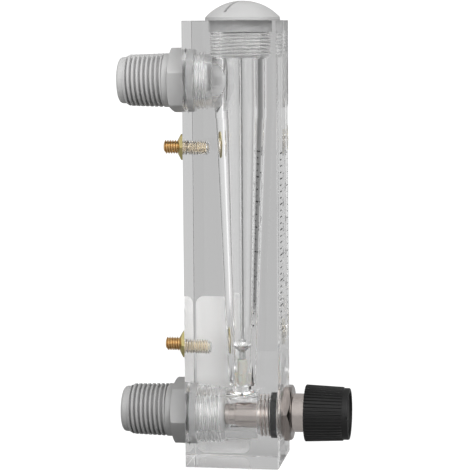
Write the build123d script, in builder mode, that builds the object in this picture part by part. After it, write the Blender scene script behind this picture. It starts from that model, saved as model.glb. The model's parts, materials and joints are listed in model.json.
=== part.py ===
"""Acrylic liquid flow meter: a clear block with a tapered metering bore, a float on a guide rod,
two threaded pipe fittings at the back and a rising-spindle valve with a ribbed knob in front.

Millimetres, +Z up. The origin is the centre of the block's bottom face, the front (scale, knob)
looks along -Y and the back (fittings, mounting studs) along +Y.
"""
from build123d import *
from math import asin, cos, sin, sqrt
import os

os.makedirs("parts", exist_ok=True)

# Clear block
block_width = 34.0
block_depth = 36.5
block_height = 173.0
block_edge_break = 0.4
bore_offset = 2.7            # metering bore axis, in front of the block's centre
cut_over = 1.0               # how far a cutter runs past the face that it opens

# Heights of the horizontal axes: the lower two from the base, the upper two down from the top
inlet_z = 19.2
lower_stud_z = 45.9
upper_stud_drop = 49.0
outlet_drop = 23.0

# Metering bore
taper_base_z = 31.0
taper_base_radius = 5.4
taper_top_drop = 37.5        # taper's upper end, below the block's top
taper_top_radius = 9.93
passage_radius = 4.0
outlet_chamber_radius = 10.2

# Clearances
thread_clearance = 0.05
running_clearance = 0.05
seal_clearance = 0.02
ring_sides = 8

# Top plug
plug_thread_radius = 11.7
plug_thread_length = 9.4
plug_neck_radius = 10.3
plug_neck_length = 4.7
plug_pocket_radius = 12.2
plug_pocket_depth = 4.6
plug_tap_runout = 0.6
plug_end_chamfer = 0.6
head_radius = 14.5
head_rim = 1.2
head_height = 7.6
slot_length = 25.0
slot_width = 1.2
slot_depth = 1.8
slot_turn = 155.5            # slot direction, degrees from +X
plug_seal_section = 0.92

# Guide rod and the seat that holds its foot
rod_radius = 1.0
rod_grip = 6.0               # length held in the plug and in the seat
rod_end_chamfer = 0.2
seat_height = 9.8
seat_hub_radius = 2.9
seat_web_radius = 5.3
seat_web_thickness = 1.6
seat_web_height = 4.3
seat_web_count = 4
seat_edge_chamfer = 0.3

# Float
float_radius = 5.8
float_edge = 0.4
float_stem_radius = 1.95
float_stem_length = 3.1
float_cone_length = 2.8
float_crown_length = 0.7
float_crown_radius = 2.2
float_crown_height = 0.8

# Pipe fittings: half-inch taper pipe thread outside, fine thread in the block
hex_across_flats = 23.0
hex_corner_radius = 13.0
hex_thickness = 7.0
hex_chamfer_radius = 11.8    # outer end of the hexagon, turned to a cone
hex_chamfer_length = 0.6
shoulder_radius = 10.5
shoulder_length = 2.6
pipe_thread_length = 15.3
pipe_thread_radius = 10.48   # outside radius next to the shoulder
pipe_thread_taper = 0.45     # loss of radius over the threaded length
lead_radius = 9.05
lead_length = 2.8
lead_slope = 0.7             # length over which the thread runs down to the lead
lead_chamfer = 1.0
nipple_bore_radius = 7.25
stub_radius = 11.1
stub_end_chamfer = 0.5
fitting_pocket_radius = 12.05
fitting_pocket_depth = 3.4
fitting_groove_radius = 10.0
fitting_groove_start = 0.7
fitting_groove_width = 2.2
fitting_seal_section = 1.0
outlet_stub_length = 8.8
outlet_tap_depth = 10.6
outlet_port_radius = 9.0
inlet_stub_length = 13.8
inlet_tap_depth = 15.0
inlet_seat_radius = 4.75
inlet_seat_length = 3.2
inlet_bore_cone = 2.5
outlet_hex_turn = 12.0       # degrees, first corner above the -X direction
inlet_hex_turn = 30.0

# Mounting studs and their nuts
stud_radius = 2.75           # free thread, at its outside size
stud_thread_height = 0.5     # the engaged thread is plain, at half this height
stud_reach = 10.4
stud_depth = 8.0
stud_hole_spare = 0.5
stud_end_chamfer = 0.5
nut_across_flats = 10.0
nut_turn = 12.0
nut_thickness = 3.8
nut_face_radius = 4.25
nut_chamfer_length = 1.1

# Valve chamber and bonnet
chamber_radius = 10.0
front_wall = 9.05            # front face to the valve chamber
bonnet_thread_radius = 8.45
bonnet_thread_length = 5.0
bonnet_pocket_radius = 9.0
bonnet_collar_radius = 8.9
bonnet_collar_length = 1.5
bonnet_groove_radius = 6.9
bonnet_seal_width = 2.5
bonnet_seal_radius = 8.95
bonnet_seal_chamfer = 0.6
bonnet_nose_radius = 7.15
bonnet_nose_length = 9.2
bonnet_nose_chamfer = 0.4
bonnet_washer_radius = 9.9
bonnet_washer_thickness = 0.7
bonnet_hex_across_flats = 21.0
bonnet_hex_thickness = 3.0
bonnet_hex_corner_radius = 11.9
bonnet_hex_face_radius = 11.1
bonnet_hex_chamfer_length = 0.4
bonnet_hex_turn = -6.0
bonnet_neck_radius = 7.6
bonnet_neck_end = 13.2       # neck end, in front of the block
bonnet_neck_chamfer = 0.5
cylinder_radius = 6.2        # bore for the spindle's piston
spindle_thread_radius = 4.0

# Spindle and the swivelling valve plug
valve_lift = 4.0
piston_radius = 6.1
piston_length = 5.6
spindle_seal_radius = 6.17
spindle_groove_radius = 4.6
spindle_groove_width = 2.0
spindle_groove_start = 2.0
spindle_pin_radius = 3.0
spindle_pin_length = 3.0
retainer_section = 0.35
retainer_groove = 0.45
retainer_station = 1.5
spindle_tail_radius = 3.0
plug_tip_radius = 6.15
plug_tip_length = 5.3
plug_tip_chamfer = 0.4
pad_radius = 5.5
pad_thickness = 1.3
pad_proud = 0.08
pad_gap = 0.02

# Knob
knob_gap = 8.75              # block's front face to the knob's rear edge
knob_length = 17.4
knob_rear_radius = 11.2
knob_front_radius = 10.55
knob_grip_length = 15.0
rib_count = 48
rib_depth = 0.45
rib_top_share = 0.45
knob_ring_radius = 10.15
knob_ring_round = 0.5
knob_skirt_radius = 8.1
knob_skirt_depth = 5.0
insert_radius = 5.0
insert_length = 6.3
insert_groove_depth = 0.4
insert_groove_width = 1.4
washer_radius = 3.4
washer_thickness = 0.5
screw_radius = 1.5
screw_length = 8.0
screw_head_radius = 2.8
screw_head_height = 2.0
screw_slot_width = 0.7
screw_slot_depth = 0.8
screw_pocket_radius = 3.6
cap_radius = 8.7
cap_thickness = 1.2
cap_recess = 0.9
knob_mark_width = 1.6
knob_mark_depth = 0.8

# Label on the far side face
label_width = 21.3
label_height = 63.3
label_base_z = 0.9
label_rear_gap = 0.65
label_corner = 3.0
label_thickness = 0.15

# Derived places and sizes
rear_y = block_depth / 2
front_y = -block_depth / 2
bore_y = -bore_offset
outlet_z = block_height - outlet_drop
upper_stud_z = block_height - upper_stud_drop
taper_top_z = block_height - taper_top_drop
plug_end_z = block_height - plug_neck_length - plug_thread_length
seat_top_z = taper_base_z + seat_height
stud_engaged_radius = stud_radius - stud_thread_height / 2

# Planes whose local x runs along a turned piece's axis and local y is the radius
bore_plane = Plane(origin=(0, bore_y, 0), x_dir=(0, 0, 1), z_dir=(0, 1, 0))
outlet_plane = Plane(origin=(0, rear_y, outlet_z), x_dir=(0, 1, 0), z_dir=(1, 0, 0))
inlet_plane = Plane(origin=(0, rear_y, inlet_z), x_dir=(0, 1, 0), z_dir=(1, 0, 0))
valve_plane = Plane(origin=(0, front_y, inlet_z), x_dir=(0, -1, 0), z_dir=(-1, 0, 0))


def turned(plane, stations, mode=Mode.ADD):
    """Turn a solid about the plane's x axis from (distance along the axis, radius) stations."""
    with BuildSketch(plane) as profile:
        with BuildLine():
            Polyline((stations[0][0], 0), *stations, (stations[-1][0], 0), close=True)
        make_face()
    revolve(profile.sketch, axis=Axis(plane.origin, plane.x_dir), mode=mode)


def seal_ring(plane, station, ring_radius, section):
    """Ring about the plane's x axis, its section squeezed against four walls to eight sides."""
    with BuildSketch(plane) as profile:
        with Locations((station, ring_radius)):
            RegularPolygon(section, ring_sides, major_radius=False, rotation=180 / ring_sides)
    revolve(profile.sketch, axis=Axis(plane.origin, plane.x_dir))


def across(plane, distance):
    """Plane square to a turned piece's axis, at a distance along it, with local x towards -X."""
    return Plane(
        origin=plane.origin + plane.x_dir * distance, x_dir=(-1, 0, 0), z_dir=plane.x_dir
    )


def hex_prism(plane, distance, thickness, across_flats, turn):
    """Hexagonal prism square to a turned piece's axis."""
    with BuildSketch(across(plane, distance)) as outline:
        RegularPolygon(across_flats / 2, 6, major_radius=False, rotation=turn)
    extrude(outline.sketch, amount=thickness)


def finish_piece(piece, label):
    """Label a finished piece and write its file."""
    piece.part.label = label
    export_step(piece.part, f"parts/{label}.step")


# Block, with every bore that the liquid, the float and the fastenings need
plug_tap_end_z = plug_end_z - plug_tap_runout
bore_stations = [
    (inlet_z, passage_radius),
    (taper_base_z, passage_radius),
    (taper_base_z, taper_base_radius),
    (taper_top_z, taper_top_radius),
    (taper_top_z, outlet_chamber_radius),
    (plug_tap_end_z, outlet_chamber_radius),
    (plug_tap_end_z, plug_thread_radius + thread_clearance),
    (block_height - plug_pocket_depth, plug_thread_radius + thread_clearance),
    (block_height - plug_pocket_depth, plug_pocket_radius),
    (block_height + cut_over, plug_pocket_radius),
]
outlet_stations = [
    (bore_y - rear_y, outlet_port_radius),
    (-outlet_tap_depth, outlet_port_radius),
    (-outlet_tap_depth, stub_radius + thread_clearance),
    (-fitting_pocket_depth, stub_radius + thread_clearance),
    (-fitting_pocket_depth, fitting_pocket_radius),
    (cut_over, fitting_pocket_radius),
]
inlet_stations = [
    (front_wall - block_depth, chamber_radius),
    (-inlet_tap_depth, chamber_radius),
    (-inlet_tap_depth, stub_radius + thread_clearance),
    (-fitting_pocket_depth, stub_radius + thread_clearance),
    (-fitting_pocket_depth, fitting_pocket_radius),
    (cut_over, fitting_pocket_radius),
]
bonnet_pocket_depth = front_wall - bonnet_thread_length
bonnet_stations = [
    (-front_wall - cut_over, bonnet_thread_radius + thread_clearance),
    (-bonnet_pocket_depth, bonnet_thread_radius + thread_clearance),
    (-bonnet_pocket_depth, bonnet_pocket_radius),
    (cut_over, bonnet_pocket_radius),
]
with BuildPart() as body_block:
    Box(block_width, block_depth, block_height, align=(Align.CENTER, Align.CENTER, Align.MIN))
    chamfer(body_block.edges(), block_edge_break)
    turned(bore_plane, bore_stations, Mode.SUBTRACT)
    turned(outlet_plane, outlet_stations, Mode.SUBTRACT)
    turned(inlet_plane, inlet_stations, Mode.SUBTRACT)
    turned(valve_plane, bonnet_stations, Mode.SUBTRACT)
    with BuildSketch(Plane(origin=(0, rear_y, 0), x_dir=(-1, 0, 0), z_dir=(0, 1, 0))):
        with Locations((0, lower_stud_z), (0, upper_stud_z)):
            Circle(stud_engaged_radius + thread_clearance)
    extrude(amount=-stud_depth - stud_hole_spare, mode=Mode.SUBTRACT)
finish_piece(body_block, "body_block")

# Domed plug that closes the bore from above, with a coin slot and a blind hole for the rod
dome_rise = head_height - head_rim
dome_radius = (head_radius**2 + dome_rise**2) / (2 * dome_rise)
dome_centre_z = block_height + head_height - dome_radius
dome_half_angle = asin(head_radius / dome_radius) / 2
plug_stations = [
    (plug_end_z, plug_thread_radius - plug_end_chamfer),
    (plug_end_z + plug_end_chamfer, plug_thread_radius),
    (block_height - plug_neck_length, plug_thread_radius),
    (block_height - plug_neck_length, plug_neck_radius),
    (block_height, plug_neck_radius),
]
with BuildPart() as top_plug:
    turned(bore_plane, plug_stations)
    with BuildSketch(bore_plane) as head_profile:
        with BuildLine():
            Polyline(
                (block_height + head_height, 0),
                (block_height, 0),
                (block_height, head_radius),
                (block_height + head_rim, head_radius),
            )
            ThreePointArc(
                (block_height + head_rim, head_radius),
                (
                    dome_centre_z + dome_radius * cos(dome_half_angle),
                    dome_radius * sin(dome_half_angle),
                ),
                (block_height + head_height, 0),
            )
        make_face()
    revolve(axis=Axis(bore_plane.origin, bore_plane.x_dir))
    slot_plane = Plane(
        origin=(0, bore_y, dome_centre_z),
        x_dir=Vector(1, 0, 0).rotate(Axis.Z, slot_turn),
        z_dir=Vector(0, -1, 0).rotate(Axis.Z, slot_turn),
    )
    with BuildSketch(slot_plane):
        Circle(dome_radius + cut_over)
        Circle(dome_radius - slot_depth, mode=Mode.SUBTRACT)
        Rectangle(
            slot_length, 2 * dome_radius, align=(Align.CENTER, Align.MIN), mode=Mode.INTERSECT
        )
    extrude(amount=slot_width / 2, both=True, mode=Mode.SUBTRACT)
    turned(
        bore_plane,
        [
            (plug_end_z - cut_over, rod_radius + seal_clearance),
            (plug_end_z + rod_grip, rod_radius + seal_clearance),
        ],
        Mode.SUBTRACT,
    )
finish_piece(top_plug, "top_plug")

with BuildPart() as top_plug_seal:
    seal_ring(
        bore_plane,
        block_height - plug_seal_section - seal_clearance,
        (plug_neck_radius + plug_pocket_radius) / 2,
        plug_seal_section,
    )
finish_piece(top_plug_seal, "top_plug_seal")

# Rod seat: a webbed foot that stands on the step at the base of the metering bore
rod_base_z = seat_top_z - rod_grip
with BuildPart() as rod_seat:
    turned(bore_plane, [(taper_base_z, seat_hub_radius), (seat_top_z, seat_hub_radius)])
    with BuildSketch(Plane(origin=(0, bore_y, taper_base_z))):
        with PolarLocations(0, seat_web_count):
            Rectangle(
                seat_web_radius, seat_web_thickness, align=(Align.MIN, Align.CENTER)
            )
    extrude(amount=seat_web_height)
    top_rim = rod_seat.faces().sort_by(Axis.Z)[-1].edges()
    chamfer(top_rim, seat_edge_chamfer)
    turned(
        bore_plane,
        [
            (rod_base_z, rod_radius + seal_clearance),
            (seat_top_z + cut_over, rod_radius + seal_clearance),
        ],
        Mode.SUBTRACT,
    )
finish_piece(rod_seat, "rod_seat")

rod_top_z = plug_end_z + rod_grip
with BuildPart() as guide_rod:
    turned(
        bore_plane,
        [
            (rod_base_z, rod_radius - rod_end_chamfer),
            (rod_base_z + rod_end_chamfer, rod_radius),
            (rod_top_z - rod_end_chamfer, rod_radius),
            (rod_top_z, rod_radius - rod_end_chamfer),
        ],
    )
finish_piece(guide_rod, "guide_rod")

# Float: stem, cone, sharp metering edge and a shallow crown, bored for the rod
float_cone_z = seat_top_z + float_stem_length
float_edge_z = float_cone_z + float_cone_length
float_crown_z = float_edge_z + float_edge + float_crown_length
float_top_z = float_crown_z + float_crown_height
float_stations = [
    (seat_top_z, float_stem_radius),
    (float_cone_z, float_stem_radius),
    (float_edge_z, float_radius),
    (float_edge_z + float_edge, float_radius),
    (float_crown_z, float_crown_radius),
    (float_top_z, float_crown_radius),
]
with BuildPart() as float_body:
    turned(bore_plane, float_stations)
    turned(
        bore_plane,
        [
            (seat_top_z - cut_over, rod_radius + running_clearance),
            (float_top_z + cut_over, rod_radius + running_clearance),
        ],
        Mode.SUBTRACT,
    )
finish_piece(float_body, "float")


def pipe_fitting(plane, stub_length, turn, bore_stations):
    """Moulded nipple: hexagon against the block, taper pipe thread outside, fine thread inside."""
    thread_start = hex_thickness + shoulder_length
    thread_end = thread_start + pipe_thread_length
    free_end = thread_end + lead_length
    groove_end = -fitting_groove_start - fitting_groove_width
    with BuildPart() as fitting:
        hex_prism(plane, 0, hex_thickness, hex_across_flats, turn)
        turned(
            plane,
            [
                (0, hex_corner_radius),
                (hex_thickness - hex_chamfer_length, hex_corner_radius),
                (hex_thickness, hex_chamfer_radius),
            ],
            Mode.INTERSECT,
        )
        turned(
            plane,
            [
                (hex_thickness - cut_over, shoulder_radius),
                (thread_start, shoulder_radius),
                (thread_start, pipe_thread_radius),
                (thread_end, pipe_thread_radius - pipe_thread_taper),
                (thread_end + lead_slope, lead_radius),
                (free_end - lead_chamfer, lead_radius),
                (free_end, lead_radius - lead_chamfer),
            ],
        )
        turned(
            plane,
            [
                (-stub_length, stub_radius - stub_end_chamfer),
                (-stub_length + stub_end_chamfer, stub_radius),
                (groove_end, stub_radius),
                (groove_end, fitting_groove_radius),
                (-fitting_groove_start, fitting_groove_radius),
                (-fitting_groove_start, stub_radius),
                (cut_over, stub_radius),
            ],
        )
        turned(plane, bore_stations(free_end), Mode.SUBTRACT)
    return fitting


def outlet_bore(free_end):
    """Straight bore from end to end."""
    return [
        (-outlet_stub_length - cut_over, nipple_bore_radius),
        (free_end + cut_over, nipple_bore_radius),
    ]


def inlet_bore(free_end):
    """Bore that narrows to the valve's seat at its inner end."""
    seat_end = inlet_seat_length - inlet_stub_length
    return [
        (-inlet_stub_length - cut_over, inlet_seat_radius),
        (seat_end, inlet_seat_radius),
        (seat_end + inlet_bore_cone, nipple_bore_radius),
        (free_end + cut_over, nipple_bore_radius),
    ]


def fitting_seal(plane):
    """O-ring in the fitting's groove, under its hexagon."""
    with BuildPart() as seal:
        seal_ring(
            plane,
            -fitting_groove_start - fitting_groove_width / 2,
            fitting_groove_radius + fitting_seal_section + seal_clearance,
            fitting_seal_section,
        )
    return seal


outlet_fitting = pipe_fitting(outlet_plane, outlet_stub_length, outlet_hex_turn, outlet_bore)
inlet_fitting = pipe_fitting(inlet_plane, inlet_stub_length, inlet_hex_turn, inlet_bore)
finish_piece(outlet_fitting, "outlet_fitting")
finish_piece(inlet_fitting, "inlet_fitting")
finish_piece(fitting_seal(outlet_plane), "outlet_fitting_seal")
finish_piece(fitting_seal(inlet_plane), "inlet_fitting_seal")


def mounting_stud(plane):
    """Threaded stud held by the block and its nut, with a free thread for the panel."""
    with BuildPart() as stud:
        turned(
            plane,
            [
                (-stud_depth, stud_engaged_radius - stud_end_chamfer),
                (-stud_depth + stud_end_chamfer, stud_engaged_radius),
                (nut_thickness, stud_engaged_radius),
                (nut_thickness, stud_radius),
                (stud_reach - stud_end_chamfer, stud_radius),
                (stud_reach, stud_radius - stud_end_chamfer),
            ],
        )
    return stud


def stud_nut(plane):
    """Thin hexagon nut with one cone-turned face, tight against the block."""
    corner_radius = nut_across_flats / sqrt(3)
    with BuildPart() as nut:
        hex_prism(plane, 0, nut_thickness, nut_across_flats, nut_turn)
        turned(
            plane,
            [
                (0, corner_radius),
                (nut_thickness - nut_chamfer_length, corner_radius),
                (nut_thickness, nut_face_radius),
            ],
            Mode.INTERSECT,
        )
        turned(
            plane,
            [
                (-cut_over, stud_engaged_radius + thread_clearance),
                (nut_thickness + cut_over, stud_engaged_radius + thread_clearance),
            ],
            Mode.SUBTRACT,
        )
    return nut


for place, stud_z in (("lower", lower_stud_z), ("upper", upper_stud_z)):
    stud_plane = Plane(origin=(0, rear_y, stud_z), x_dir=(0, 1, 0), z_dir=(1, 0, 0))
    finish_piece(mounting_stud(stud_plane), f"{place}_stud")
    finish_piece(stud_nut(stud_plane), f"{place}_stud_nut")

# Valve bonnet: screwed into the block's front, it guides and drives the spindle
nose_end = -front_wall - bonnet_nose_length
groove_front = -bonnet_collar_length
groove_back = -bonnet_pocket_depth
hex_front = bonnet_washer_thickness + bonnet_hex_thickness
inlet_end_y = rear_y - inlet_stub_length
plug_tip_face = front_y - inlet_end_y + pad_gap + pad_proud
plug_tip_back = plug_tip_face + plug_tip_length
piston_start = plug_tip_back + running_clearance
piston_end = piston_start + piston_length
cylinder_end = piston_end + valve_lift + running_clearance
with BuildPart() as valve_bonnet:
    hex_prism(
        valve_plane,
        bonnet_washer_thickness,
        bonnet_hex_thickness,
        bonnet_hex_across_flats,
        bonnet_hex_turn,
    )
    turned(
        valve_plane,
        [
            (bonnet_washer_thickness, bonnet_hex_face_radius),
            (bonnet_washer_thickness + bonnet_hex_chamfer_length, bonnet_hex_corner_radius),
            (hex_front - bonnet_hex_chamfer_length, bonnet_hex_corner_radius),
            (hex_front, bonnet_hex_face_radius),
        ],
        Mode.INTERSECT,
    )
    turned(
        valve_plane,
        [
            (nose_end, bonnet_nose_radius - bonnet_nose_chamfer),
            (nose_end + bonnet_nose_chamfer, bonnet_nose_radius),
            (-front_wall, bonnet_nose_radius),
            (-front_wall, bonnet_thread_radius),
            (groove_back, bonnet_thread_radius),
            (groove_back, bonnet_groove_radius),
            (groove_front, bonnet_groove_radius),
            (groove_front, bonnet_collar_radius),
            (0, bonnet_collar_radius),
            (0, bonnet_washer_radius),
            (bonnet_washer_thickness, bonnet_washer_radius),
            (bonnet_washer_thickness, bonnet_neck_radius),
            (bonnet_neck_end - bonnet_neck_chamfer, bonnet_neck_radius),
            (bonnet_neck_end, bonnet_neck_radius - bonnet_neck_chamfer),
        ],
    )
    turned(
        valve_plane,
        [
            (nose_end - cut_over, cylinder_radius),
            (cylinder_end, cylinder_radius),
            (cylinder_end, spindle_thread_radius + running_clearance),
            (bonnet_neck_end + cut_over, spindle_thread_radius + running_clearance),
        ],
        Mode.SUBTRACT,
    )
finish_piece(valve_bonnet, "valve_bonnet")

with BuildPart() as bonnet_seal:
    with BuildSketch(valve_plane):
        seal_inner = bonnet_groove_radius + seal_clearance
        with Locations(((groove_back + groove_front) / 2, (seal_inner + bonnet_seal_radius) / 2)):
            section = Rectangle(bonnet_seal_width, bonnet_seal_radius - seal_inner)
        chamfer(section.vertices(), bonnet_seal_chamfer)
    revolve(axis=Axis(valve_plane.origin, valve_plane.x_dir))
finish_piece(bonnet_seal, "bonnet_seal")

# Swivelling valve plug: it presses its pad on the inlet fitting's inner end without turning
pocket_radius = spindle_pin_radius + running_clearance
pocket_face = piston_start - spindle_pin_length - running_clearance
retainer_place = piston_start - retainer_station
with BuildPart() as valve_plug:
    turned(
        valve_plane,
        [
            (plug_tip_face, plug_tip_radius - plug_tip_chamfer),
            (plug_tip_face + plug_tip_chamfer, plug_tip_radius),
            (plug_tip_back - plug_tip_chamfer, plug_tip_radius),
            (plug_tip_back, plug_tip_radius - plug_tip_chamfer),
        ],
    )
    turned(
        valve_plane,
        [
            (plug_tip_face - cut_over, pad_radius + seal_clearance),
            (plug_tip_face + pad_thickness - pad_proud, pad_radius + seal_clearance),
        ],
        Mode.SUBTRACT,
    )
    turned(
        valve_plane,
        [
            (pocket_face, pocket_radius),
            (retainer_place - retainer_groove, pocket_radius),
            (retainer_place - retainer_groove, spindle_pin_radius + retainer_groove),
            (retainer_place + retainer_groove, spindle_pin_radius + retainer_groove),
            (retainer_place + retainer_groove, pocket_radius),
            (plug_tip_back + cut_over, pocket_radius),
        ],
        Mode.SUBTRACT,
    )
finish_piece(valve_plug, "valve_plug")

with BuildPart() as seat_pad:
    turned(
        valve_plane,
        [
            (plug_tip_face - pad_proud, pad_radius),
            (plug_tip_face - pad_proud + pad_thickness, pad_radius),
        ],
    )
finish_piece(seat_pad, "seat_pad")

with BuildPart() as plug_retainer:
    seal_ring(valve_plane, retainer_place, spindle_pin_radius, retainer_section)
finish_piece(plug_retainer, "plug_retainer")

# Spindle: swivel pin, piston with its O-ring groove, threaded stem and the knob's seat
knob_web_start = knob_gap + knob_skirt_depth
insert_end = knob_web_start + insert_length
tail_start = knob_web_start - running_clearance
seal_back = piston_start + spindle_groove_start
with BuildPart() as spindle:
    turned(
        valve_plane,
        [
            (piston_start - spindle_pin_length, spindle_pin_radius),
            (retainer_place - retainer_groove, spindle_pin_radius),
            (retainer_place - retainer_groove, spindle_pin_radius - retainer_groove),
            (retainer_place + retainer_groove, spindle_pin_radius - retainer_groove),
            (retainer_place + retainer_groove, spindle_pin_radius),
            (piston_start, spindle_pin_radius),
            (piston_start, piston_radius),
            (seal_back, piston_radius),
            (seal_back, spindle_groove_radius),
            (seal_back + spindle_groove_width, spindle_groove_radius),
            (seal_back + spindle_groove_width, piston_radius),
            (piston_end, piston_radius),
            (piston_end, spindle_thread_radius),
            (tail_start, spindle_thread_radius),
            (tail_start, spindle_tail_radius),
            (insert_end, spindle_tail_radius),
        ],
    )
    turned(
        valve_plane,
        [
            (insert_end - screw_length - cut_over, screw_radius + seal_clearance),
            (insert_end + cut_over, screw_radius + seal_clearance),
        ],
        Mode.SUBTRACT,
    )
finish_piece(spindle, "spindle")

spindle_seal_section = (spindle_seal_radius - spindle_groove_radius - seal_clearance) / 2
with BuildPart() as spindle_seal:
    seal_ring(
        valve_plane,
        seal_back + spindle_groove_width / 2,
        spindle_seal_radius - spindle_seal_section,
        spindle_seal_section,
    )
finish_piece(spindle_seal, "spindle_seal")

# Knob: tapering ribbed grip, plain ring, skirt over the bonnet's neck and a capped screw pocket
knob_step = knob_gap + knob_grip_length
knob_end = knob_gap + knob_length
cap_face = knob_end - cap_recess
cap_back = cap_face - cap_thickness


def ribbed_outline(tip_radius):
    """Closed outline of the grip: flat-topped ribs with narrow grooves between them."""
    pitch = 360 / rib_count
    points = []
    for rib in range(rib_count):
        start = rib * pitch
        for radius, share in (
            (tip_radius - rib_depth, 0.0),
            (tip_radius, (1 - rib_top_share) / 2),
            (tip_radius, (1 + rib_top_share) / 2),
        ):
            points.append(Vector(radius, 0).rotate(Axis.Z, start + share * pitch))
    return points


with BuildPart() as knob:
    for station, tip_radius in ((knob_gap, knob_rear_radius), (knob_step, knob_front_radius)):
        with BuildSketch(across(valve_plane, station)):
            with BuildLine():
                Polyline(*ribbed_outline(tip_radius), close=True)
            make_face()
    loft()
    turned(
        valve_plane,
        [
            (knob_step - cut_over, knob_ring_radius),
            (knob_end - knob_ring_round, knob_ring_radius),
            (knob_end, knob_ring_radius - knob_ring_round),
        ],
    )
    turned(
        valve_plane,
        [
            (knob_gap - cut_over, knob_skirt_radius),
            (knob_web_start, knob_skirt_radius),
            (knob_web_start, insert_radius + seal_clearance),
            (insert_end, insert_radius + seal_clearance),
            (insert_end, screw_pocket_radius),
            (cap_back, screw_pocket_radius),
            (cap_back, cap_radius + seal_clearance),
            (knob_end + cut_over, cap_radius + seal_clearance),
        ],
        Mode.SUBTRACT,
    )
    with BuildSketch(across(valve_plane, knob_end - knob_mark_depth)):
        with Locations((knob_ring_radius, 0)):
            Rectangle(2 * (knob_ring_radius - cap_radius), knob_mark_width)
    extrude(amount=knob_mark_depth + cut_over, mode=Mode.SUBTRACT)
finish_piece(knob, "knob")

with BuildPart() as knob_insert:
    turned(
        valve_plane,
        [
            (knob_web_start, insert_radius),
            (knob_web_start + insert_groove_width, insert_radius),
            (knob_web_start + insert_groove_width, insert_radius - insert_groove_depth),
            (insert_end - insert_groove_width, insert_radius - insert_groove_depth),
            (insert_end - insert_groove_width, insert_radius),
            (insert_end, insert_radius),
        ],
    )
    turned(
        valve_plane,
        [
            (knob_web_start - cut_over, spindle_tail_radius + seal_clearance),
            (insert_end + cut_over, spindle_tail_radius + seal_clearance),
        ],
        Mode.SUBTRACT,
    )
finish_piece(knob_insert, "knob_insert")

head_start = insert_end + washer_thickness
head_end = head_start + screw_head_height
with BuildPart() as knob_washer:
    turned(valve_plane, [(insert_end, washer_radius), (head_start, washer_radius)])
    turned(
        valve_plane,
        [
            (insert_end - cut_over, screw_radius + seal_clearance),
            (head_start + cut_over, screw_radius + seal_clearance),
        ],
        Mode.SUBTRACT,
    )
finish_piece(knob_washer, "knob_washer")

with BuildPart() as knob_screw:
    turned(
        valve_plane,
        [
            (insert_end - screw_length, screw_radius),
            (head_start, screw_radius),
            (head_start, screw_head_radius),
            (head_end, screw_head_radius),
        ],
    )
    with BuildSketch(across(valve_plane, head_end - screw_slot_depth)):
        Rectangle(2 * screw_head_radius + cut_over, screw_slot_width)
    extrude(amount=screw_slot_depth + cut_over, mode=Mode.SUBTRACT)
finish_piece(knob_screw, "knob_screw")

with BuildPart() as knob_cap:
    turned(valve_plane, [(cap_back, cap_radius), (cap_face, cap_radius)])
finish_piece(knob_cap, "knob_cap")

# Blank label on the +X side face
label_y = rear_y - label_rear_gap - label_width / 2
label_z = label_base_z + label_height / 2
with BuildPart() as side_label:
    with BuildSketch(Plane(origin=(block_width / 2, label_y, label_z), x_dir=(0, 1, 0), z_dir=(1, 0, 0))):
        RectangleRounded(label_width, label_height, label_corner)
    extrude(amount=label_thickness)
finish_piece(side_label, "side_label")
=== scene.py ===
import json
import math

import bpy
from mathutils import Matrix, Vector

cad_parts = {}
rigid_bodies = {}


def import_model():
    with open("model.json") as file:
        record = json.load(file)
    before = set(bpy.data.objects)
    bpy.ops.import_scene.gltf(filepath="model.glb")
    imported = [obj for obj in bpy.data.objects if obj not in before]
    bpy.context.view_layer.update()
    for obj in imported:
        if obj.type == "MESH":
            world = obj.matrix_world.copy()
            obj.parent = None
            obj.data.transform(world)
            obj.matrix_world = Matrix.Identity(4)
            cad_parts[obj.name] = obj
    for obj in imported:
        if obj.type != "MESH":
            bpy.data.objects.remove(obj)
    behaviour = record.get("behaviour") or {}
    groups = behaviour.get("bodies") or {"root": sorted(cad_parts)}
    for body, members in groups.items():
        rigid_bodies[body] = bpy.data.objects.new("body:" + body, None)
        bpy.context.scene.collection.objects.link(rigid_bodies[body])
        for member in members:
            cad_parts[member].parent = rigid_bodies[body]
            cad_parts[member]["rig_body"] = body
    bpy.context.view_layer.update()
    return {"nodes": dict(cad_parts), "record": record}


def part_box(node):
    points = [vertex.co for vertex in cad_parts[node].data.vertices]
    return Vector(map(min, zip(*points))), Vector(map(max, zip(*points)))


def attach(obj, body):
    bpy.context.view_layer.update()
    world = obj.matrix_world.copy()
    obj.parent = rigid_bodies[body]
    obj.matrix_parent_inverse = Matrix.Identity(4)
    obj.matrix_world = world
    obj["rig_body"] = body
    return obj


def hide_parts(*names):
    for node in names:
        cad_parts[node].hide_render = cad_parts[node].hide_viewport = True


# Looks of the clear-block flow meter. Sizes are millimetres, and the block's bottom centre is the
# origin. Turned pieces are made about their own Z axis and then laid on one of the axes below.

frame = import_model()

MM = 0.001
TURN = 2 * math.pi
SIDES = 96               # facets round a turned piece
COIL_STEPS = 48          # facets in one turn of a thread
RIDGE_SUNK = 0.25        # how far a thread's ridge starts below its root
WELD = 1e-7              # metres, vertices closer than this are one
SHARP = math.radians(32)  # edges that turn by more stay sharp
EDGE_STEPS = 4           # facets in a rounded edge
DOME_STEPS = 24


def corners(node):
    """Lowest and highest corner of a node's box, in millimetres."""
    low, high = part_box(node)
    return low / MM, high / MM


def middle_z(node):
    """Height of the middle of a node's box, in millimetres."""
    low, high = corners(node)
    return (low.z + high.z) / 2


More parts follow.
